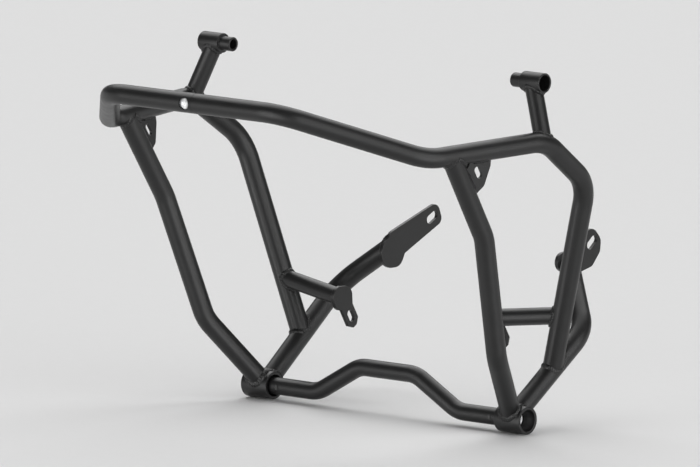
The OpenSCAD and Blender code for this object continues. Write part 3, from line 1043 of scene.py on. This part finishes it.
@dataclass
class LowerFrame:
    """Front tubes, lower arms, branches and the turned lower bosses."""

    layout: Layout
    shop: Workshop
    edge: float = 1.0
    recess_r: float = 13.5
    outer_deep: float = 22.0
    inner_deep: float = 12.0
    web_hole_r: float = 6.5
    first_seed: int = 40

    def front(self) -> TubeSkin:
        """Skin of a front tube."""
        size = self.layout
        rail, boss = size.rail_form(Side.RIGHT), size.lower_boss_form()
        return TubeSkin(size.front_course(), size.main_r, size.main_wall, rail, boss)

    def arm(self, side: Side) -> TubeSkin:
        """Skin of a lower arm, fitted to the boss and the front tube, cut flat at the plate."""
        size = self.layout
        front = RoundForm(size.front_course(), size.main_r + size.tube_gap)
        head = JoinedForm([size.lower_boss_form(), front])
        face = size.plate_face(size.pads[side][0])
        return TubeSkin(
            size.arm_course(side), size.main_r, size.main_wall, head, face, clear=46.0
        )

    def branch(self, side: Side) -> TubeSkin:
        """Skin of a branch tube, fitted to the rail and cut flat at the side plate."""
        size = self.layout
        rail, face = size.rail_form(side), size.plate_face(size.branch_end[0])
        return TubeSkin(
            size.branch_course(side), size.small_r, size.small_wall, rail, face, clear=34.0
        )

    def boss(self) -> Surface:
        """Turned lower boss: a recess at both ends and a drilled web between them."""
        size = self.layout
        a, b, r = size.boss_inner, size.boss_outer, size.boss_r
        web_in, web_out = a + self.inner_deep, b - self.outer_deep
        corners = [
            (a, self.recess_r), (a, r), (b, r), (b, self.recess_r),
            (web_out, self.recess_r), (web_out, self.web_hole_r),
            (web_in, self.web_hole_r), (web_in, self.recess_r),
        ]
        return turned(rounded_loop(corners, self.edge), np.zeros(3))

    def build(self) -> None:
        """Makes both sides."""
        for side in Side:
            word = side.word
            front, arm, branch = self.front(), self.arm(side), self.branch(side)
            for name, skin in (("front_tube", front), ("lower_arm", arm), ("branch_tube", branch)):
                piece = skin.surface().on(side).piece(f"{name}_{word}")
                self.shop.dress(piece, Slot.PAINTED, f"{word}_{name}")
            boss = self.boss().on(side).piece(f"lower_boss_{word}", 50.0)
            self.shop.dress(boss, Slot.PAINTED, f"{word}_lower_boss")
            corners = {
                "front_head": front.seam(True, 3.4),
                "front_foot": front.seam(False, 3.8),
                "arm_foot": arm.seam(True, 3.6),
                "arm_pad": arm.seam(False, 2.8),
                "branch_root": branch.seam(True, 3.0),
                "branch_end": branch.seam(False, 2.8),
            }
            self.shop.weld(side, self.first_seed, corners)


@dataclass
class Plates:
    """Rear plates, side plates and gussets with rounded edges, and the gussets' long welds."""

    layout: Layout
    shop: Workshop
    edge: float = 0.7
    leg: float = 2.3
    crown: float = 0.9
    ripple: float = 0.6
    pitch: float = 3.0
    first_seed: int = 61

    def gusset_lines(self) -> list[Fillet]:
        """Corner lines between a gusset's two faces and the two tubes.

        Each lies in a face of the gusset, at the height where the tube's circle cuts it, and
        runs parallel to the tube's axis. Its outer toe is dropped by the circle's own fall.

        Returns:
            The fillets.
        """
        size = self.layout
        head = size.front_head()
        rail = unit(np.array(size.hip) - np.array(size.shoulder))
        tube = unit(np.array(size.front_upper) - head)
        flat = unit(np.cross(rail, tube))
        height = math.sqrt(size.main_r**2 - size.gusset_half**2)
        lines = []
        for way, inward, end in (
            (rail, unit(np.cross(flat, rail)), size.gusset_along_rail),
            (tube, unit(np.cross(tube, flat)), size.gusset_along_tube),
        ):
            run = np.linspace(size.gusset_notch + 3, end - 2, 60)[:, None]
            for turn in (-1, 1):
                line = head + inward * height + flat * turn * size.gusset_half + way * run
                wide = size.gusset_half + self.leg
                fall = height - math.sqrt(size.main_r**2 - wide**2)
                toe = line + flat * turn * self.leg - inward * fall
                lift = np.broadcast_to(unit(inward + flat * turn), line.shape)
                lines.append(Fillet(line, line + inward * self.leg, toe, lift))
        return lines

    def build(self) -> None:
        """Makes both sides."""
        for side in Side:
            word = side.word
            for node in (f"{word}_rear_plate", f"{word}_side_plate", f"{word}_gusset"):
                self.shop.softened(node, self.edge, Slot.PAINTED)
            beads = [
                WeldBead(fillet, False, self.crown, self.ripple, self.pitch, seed).surface()
                for seed, fillet in enumerate(self.gusset_lines(), self.first_seed)
            ]
            whole = reduce(Surface.joined, beads)
            self.shop.dress(whole.on(side).piece(f"bead_gusset_{word}"), Slot.PAINTED)


@dataclass
class ButtonScrew:
    """Domed cap screw along +X with a six-sided socket, its seat at the origin."""

    shank_r: float
    length: float
    head_r: float
    head_h: float
    key_r: float
    socket_share: float = 0.55
    edge: float = 0.25
    tip_edge: float = 1.0

    def dome(self, r: np.ndarray) -> np.ndarray:
        """Height of the dome: sqrt(R^2 - r^2) - (R - head_h), where R is its own radius."""
        dome_r = (self.head_h**2 + self.head_r**2) / (2 * self.head_h)
        return np.sqrt(dome_r**2 - r**2) - (dome_r - self.head_h)

    def surface(self) -> Surface:
        """Rows from the shank's tip over the dome into the socket.

        The socket's radius at an angle is key_r cos 30 / cos(angle within its side). Between
        the socket and the rim the radius is blended, and its height is the dome's.

        Returns:
            The surface, with both poles drawn as rings of coincident points.
        """
        phi = np.linspace(0, 2 * math.pi, 72, endpoint=False)
        hexagon = self.key_r * math.cos(math.pi / 6) / np.cos(phi % (math.pi / 3) - math.pi / 6)
        full = np.ones_like(phi)
        floor = self.head_h * (1 - self.socket_share)
        rows = [
            (full * 0, -self.length),
            (full * (self.shank_r - self.tip_edge), -self.length),
            (full * self.shank_r, self.tip_edge - self.length),
            (full * self.shank_r, 0.0),
            (full * (self.head_r - self.edge), 0.0),
            (full * self.head_r, 0.2),
        ]
        rim = self.head_r - 0.1
        for share in np.linspace(0, 1, 12):
            r = rim + (hexagon + self.edge - rim) * share
            rows.append((r, np.maximum(self.dome(r), 0.35)))
        lip = (hexagon, self.dome(hexagon) - self.edge)
        rows += [lip, (hexagon, floor), (full * 0, floor - 0.4)]
        radius = np.stack([r for r, _ in rows])
        height = np.stack([np.broadcast_to(h, phi.shape) for _, h in rows])
        grid = np.stack([height, radius * np.cos(phi), radius * np.sin(phi)], axis=-1)
        return Surface.grid(grid, False, True)


@dataclass
class Fasteners:
    """Tie bolts and washers in the lower bosses, the joint bolt and its insert."""

    shop: Workshop
    seat_x: float = 213.5
    web_x: float = 211.0
    washer_r: float = 12.0
    washer_hole_r: float = 6.5
    joint_at: tuple = (-8.0, -367.75, 415.0)
    tie: ButtonScrew = field(default_factory=lambda: ButtonScrew(6.0, 30.0, 10.5, 6.6, 4.5))
    joint: ButtonScrew = field(default_factory=lambda: ButtonScrew(4.0, 16.0, 7.0, 4.4, 2.9, 0.25))

    def build(self) -> None:
        """Makes the pairs and the single bolt."""
        bolt = self.tie.surface()
        right = bolt.moved(self.seat_x)
        piece = right.joined(right.on(Side.LEFT)).piece("tie_bolt_pair", 35.0)
        self.shop.dress(piece, Slot.ZINC, "tie_bolts")
        a, b, hole, rim = self.web_x, self.seat_x, self.washer_hole_r, self.washer_r
        corners = [(a, hole), (a, rim), (b, rim), (b, hole)]
        washer = turned(rounded_loop(corners, 0.5), np.zeros(3))
        piece = washer.joined(washer.on(Side.LEFT)).piece("tie_washer_pair", 50.0)
        self.shop.dress(piece, Slot.ZINC, "tie_washers")
        bolt = self.joint.surface()
        aimed = bolt.points[:, [1, 0, 2]] * [1, -1, 1] + self.joint_at
        piece = Surface(aimed, bolt.quads).piece("joint_bolt_head", 35.0)
        self.shop.dress(piece, Slot.ZINC, "joint_bolt")
        for node in ("joint_insert", "left_tie_plug", "right_tie_plug"):
            self.shop.keep(node, Slot.STEEL)


@dataclass
class TieBar:
    """Stepped bar between the lower bosses, with a weld nugget in each plug hole."""

    layout: Layout
    shop: Workshop
    end_x: float = 202.8
    outer_x: float = 117.0
    inner_x: float = 47.0
    rise: float = 39.0
    hole_x: float = 178.5
    hole_r: float = 3.5

    def nugget(self) -> Surface:
        """Weld in a plug hole.

        Its height over the radius is a dished floor, lifted to a soft rim by a cosine, with
        two turns of a shallow spiral on it.
        """
        r = np.linspace(0, self.hole_r + 0.3, 14)[:, None]
        phi = np.linspace(0, 2 * math.pi, 40, endpoint=False)[None]
        share = r / self.hole_r
        spiral = 0.12 * np.sin(phi + 4 * math.pi * share) * share * (1.1 - np.minimum(share, 1))
        height = -1.3 + 1.2 * (1 - np.cos(np.minimum(share, 1) * math.pi / 2)) + spiral
        x = np.broadcast_to(r * np.cos(phi), height.shape)
        z = np.broadcast_to(r * np.sin(phi), height.shape)
        front = -np.sqrt((self.layout.small_r + height) ** 2 - z**2)
        top = np.stack([x, front, z], axis=-1)
        back = top[::-1] * [1, 0, 1] + [0, -8.6, 0]
        return Surface.grid(np.concatenate([top, back]), False, True)

    def build(self) -> None:
        """Makes the bar and its two nuggets."""
        size = self.layout
        corners = [
            (-self.end_x, 0, 0), (-self.outer_x, 0, 0), (-self.inner_x, 0, self.rise),
            (self.inner_x, 0, self.rise), (self.outer_x, 0, 0), (self.end_x, 0, 0),
        ]
        course = Course.bent(corners, size.tie_bend)
        head, tail = size.flat(-self.end_x, 1.0), size.flat(self.end_x, -1.0)
        skin = TubeSkin(course, size.small_r, size.small_wall, head, tail, clear=8.0)
        piece = skin.surface().piece("tie_bar_skin")
        for x in (-self.hole_x, self.hole_x):
            self.shop.pierced(piece, (x, -2, 0), (x, -2 * size.small_r, 0), self.hole_r)
        self.shop.dress(piece, Slot.PAINTED, "tie_bar")
        one = self.nugget()
        pair = one.moved(-self.hole_x).joined(one.moved(self.hole_x))
        self.shop.dress(pair.piece("plug_welds"), Slot.PAINTED)


@dataclass
class Studio:
    """Pale floor and horizon, three wide soft lamps in a dim room, and the camera.

    The two upright panels reach below the horizon, so the floor casts no shadow, but it shows
    the object's own. The horizon and the fade are sines of a height.
    """

    azimuth: float = 41.725
    elevation: float = 8.9855
    distance: float = 26.385
    aim_right: float = -0.04765
    aim_up: float = 0.2100
    lens: float = 1084.5
    floor_z: float = -0.018
    floor_r: float = 70.0
    room: float = 0.13
    pale: float = 0.738
    horizon: float = 0.03
    fade: float = 0.03

    def camera(self) -> None:
        """Places the camera on its bearing and aims it with its own up."""
        right = bearing(self.azimuth + 90, 0)
        back = bearing(self.azimuth, self.elevation)
        up = back.cross(right)
        data = bpy.data.cameras.new("camera")
        data.sensor_width, data.lens = 36.0, self.lens
        data.clip_start, data.clip_end = 0.5, 200.0
        camera = placed("camera", data)
        place = back * self.distance
        aim = right * self.aim_right + up * self.aim_up
        look = (place - aim).normalized()
        side = up.cross(look).normalized()
        rise = look.cross(side)
        turn = Matrix((side, rise, look)).transposed().to_4x4()
        turn.translation = place
        camera.matrix_world = turn
        bpy.context.scene.camera = camera

    def lamp(
        self, name: str, azimuth: float, elevation: float, strength: float, spread: float
    ) -> None:
        """Adds one wide, distant soft lamp.

        Args:
            name: lamp's name.
            azimuth: bearing that it shines from, in degrees, 0 at -Y and 90 at +X.
            elevation: height above the horizon, in degrees.
            strength: its strength.
            spread: angle that it fills in the sky, in degrees.
        """
        data = bpy.data.lights.new(name, "SUN")
        data.energy, data.angle = strength, math.radians(spread)
        lamp = placed(name, data)
        lamp.rotation_mode = "QUATERNION"
        lamp.rotation_quaternion = bearing(azimuth, elevation).to_track_quat("Z", "Y")
        data.cycles.use_multiple_importance_sampling = elevation > spread / 2

    def world(self) -> None:
        """Dim even room for diffuse light, with a pale horizon behind the object.

        Only camera, glossy and transmission rays meet the pale horizon, so it adds no diffuse
        light. Its strength falls from pale to room as the sine of the height above the horizon
        goes from horizon to horizon + fade.
        """
        world = bpy.data.worlds.new("studio")
        bpy.context.scene.world = world
        board = NodeBoard(world)
        path = board.node("ShaderNodeLightPath")
        rays = ("Is Camera Ray", "Is Glossy Ray", "Is Transmission Ray")
        camera, glossy, transmission = (board.out(path, ray) for ray in rays)
        way = board.out(board.node("ShaderNodeTexCoord"), "Generated")
        height = board.out(board.node("ShaderNodeSeparateXYZ", inputs={0: way}), 2)
        low = ((self.horizon + self.fade - height) * (1 / self.fade)).clipped()
        low = low * (camera + glossy + transmission).clipped()
        level = self.room + low * (self.pale - self.room)
        white = (1.0, 1.0, 1.0, 1.0)
        sky = board.node("ShaderNodeBackground", inputs={"Color": white, "Strength": level})
        board.node("ShaderNodeOutputWorld", inputs={"Surface": board.out(sky)})

    def floor(self) -> None:
        """Lays a round floor just under the lower bosses: (r cos, r sin, z) for a few radii."""
        phi = np.linspace(0, 2 * math.pi, 121)[None]
        r = np.array([[0.0], [2.0], [self.floor_r]]) / MM
        flat = np.full((3, phi.size), self.floor_z / MM)
        grid = np.stack([r * np.cos(phi), r * np.sin(phi), flat], axis=-1)
        floor = Surface.grid(grid, False, False).piece("floor")
        floor.data.materials.append(PaleFloor().material())
        floor.visible_shadow = False

    def build(self) -> None:
        """Sets up everything that isn't the object."""
        self.camera()
        self.world()
        self.floor()
        self.lamp("high_behind", -140.0, 55.0, 2.4, 70.0)
        self.lamp("right_panel", 86.0, 7.0, 2.6, 75.0)
        self.lamp("left_panel", -12.0, -2.0, 1.6, 54.0)
        bpy.context.scene.view_settings.view_transform = "Standard"


def main() -> None:
    """Builds the studio and every sub-assembly in turn."""
    logging.basicConfig(level=logging.INFO, format="%(message)s")
    Studio().build()
    shop = Workshop(
        {
            Slot.PAINTED: PowderCoat(),
            Slot.STEEL: TurnedMetal("turned_steel", (0.42, 0.42, 0.43), (0.56, 0.56, 0.57), 0.34),
            Slot.ZINC: TurnedMetal(
                "pale_zinc", (0.76, 0.77, 0.78), (0.90, 0.90, 0.90), 0.46, metal=0.45
            ),
        }
    )
    layout = Layout()
    UpperRails(layout, shop).build()
    LowerFrame(layout, shop).build()
    Plates(layout, shop).build()
    TieBar(layout, shop).build()
    Fasteners(shop).build()


if __name__ == "__main__":
    main()
